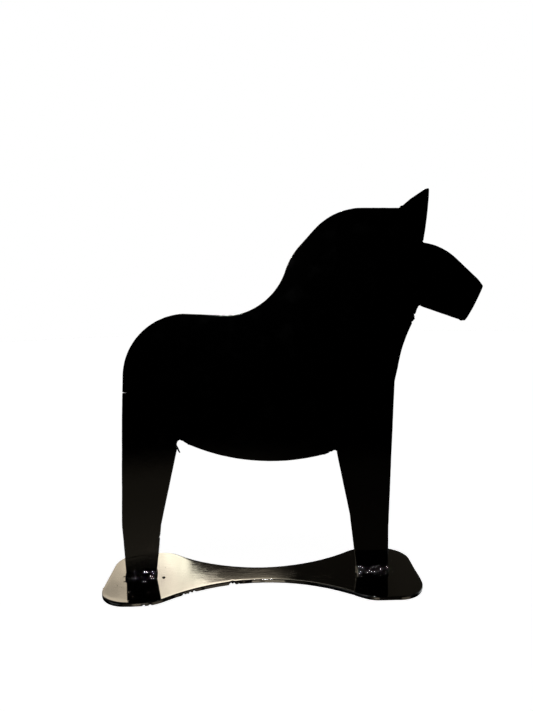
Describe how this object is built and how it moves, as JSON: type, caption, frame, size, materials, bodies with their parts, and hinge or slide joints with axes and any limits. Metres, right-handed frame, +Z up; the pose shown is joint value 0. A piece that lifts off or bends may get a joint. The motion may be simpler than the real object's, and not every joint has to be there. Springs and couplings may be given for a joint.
{
  "type": "dala horse",
  "caption": "Flat steel horse silhouette standing on edge, welded at both feet to a waisted flat base plate, gloss black.",
  "frame": {"origin": "middle of the base plate's underside, which is the surface the horse stands on", "axes": "+X along the base, the way the horse faces; +Y away from its near side, across the plates; +Z up"},
  "size_m": [0.3002, 0.0784, 0.3075],
  "materials": {
    "gloss_black_enamel": "gloss enamel over cut steel plate",
    "enamelled_weld": "gloss enamel over rippled weld metal"
  },
  "bodies": {
    "root": {"base_plate": "gloss_black_enamel", "horse_plate": "gloss_black_enamel", "hind_foot_weld_front": "enamelled_weld", "hind_foot_weld_back": "enamelled_weld", "fore_foot_weld_front": "enamelled_weld", "fore_foot_weld_back": "enamelled_weld"}
  },
  "joints": []
}
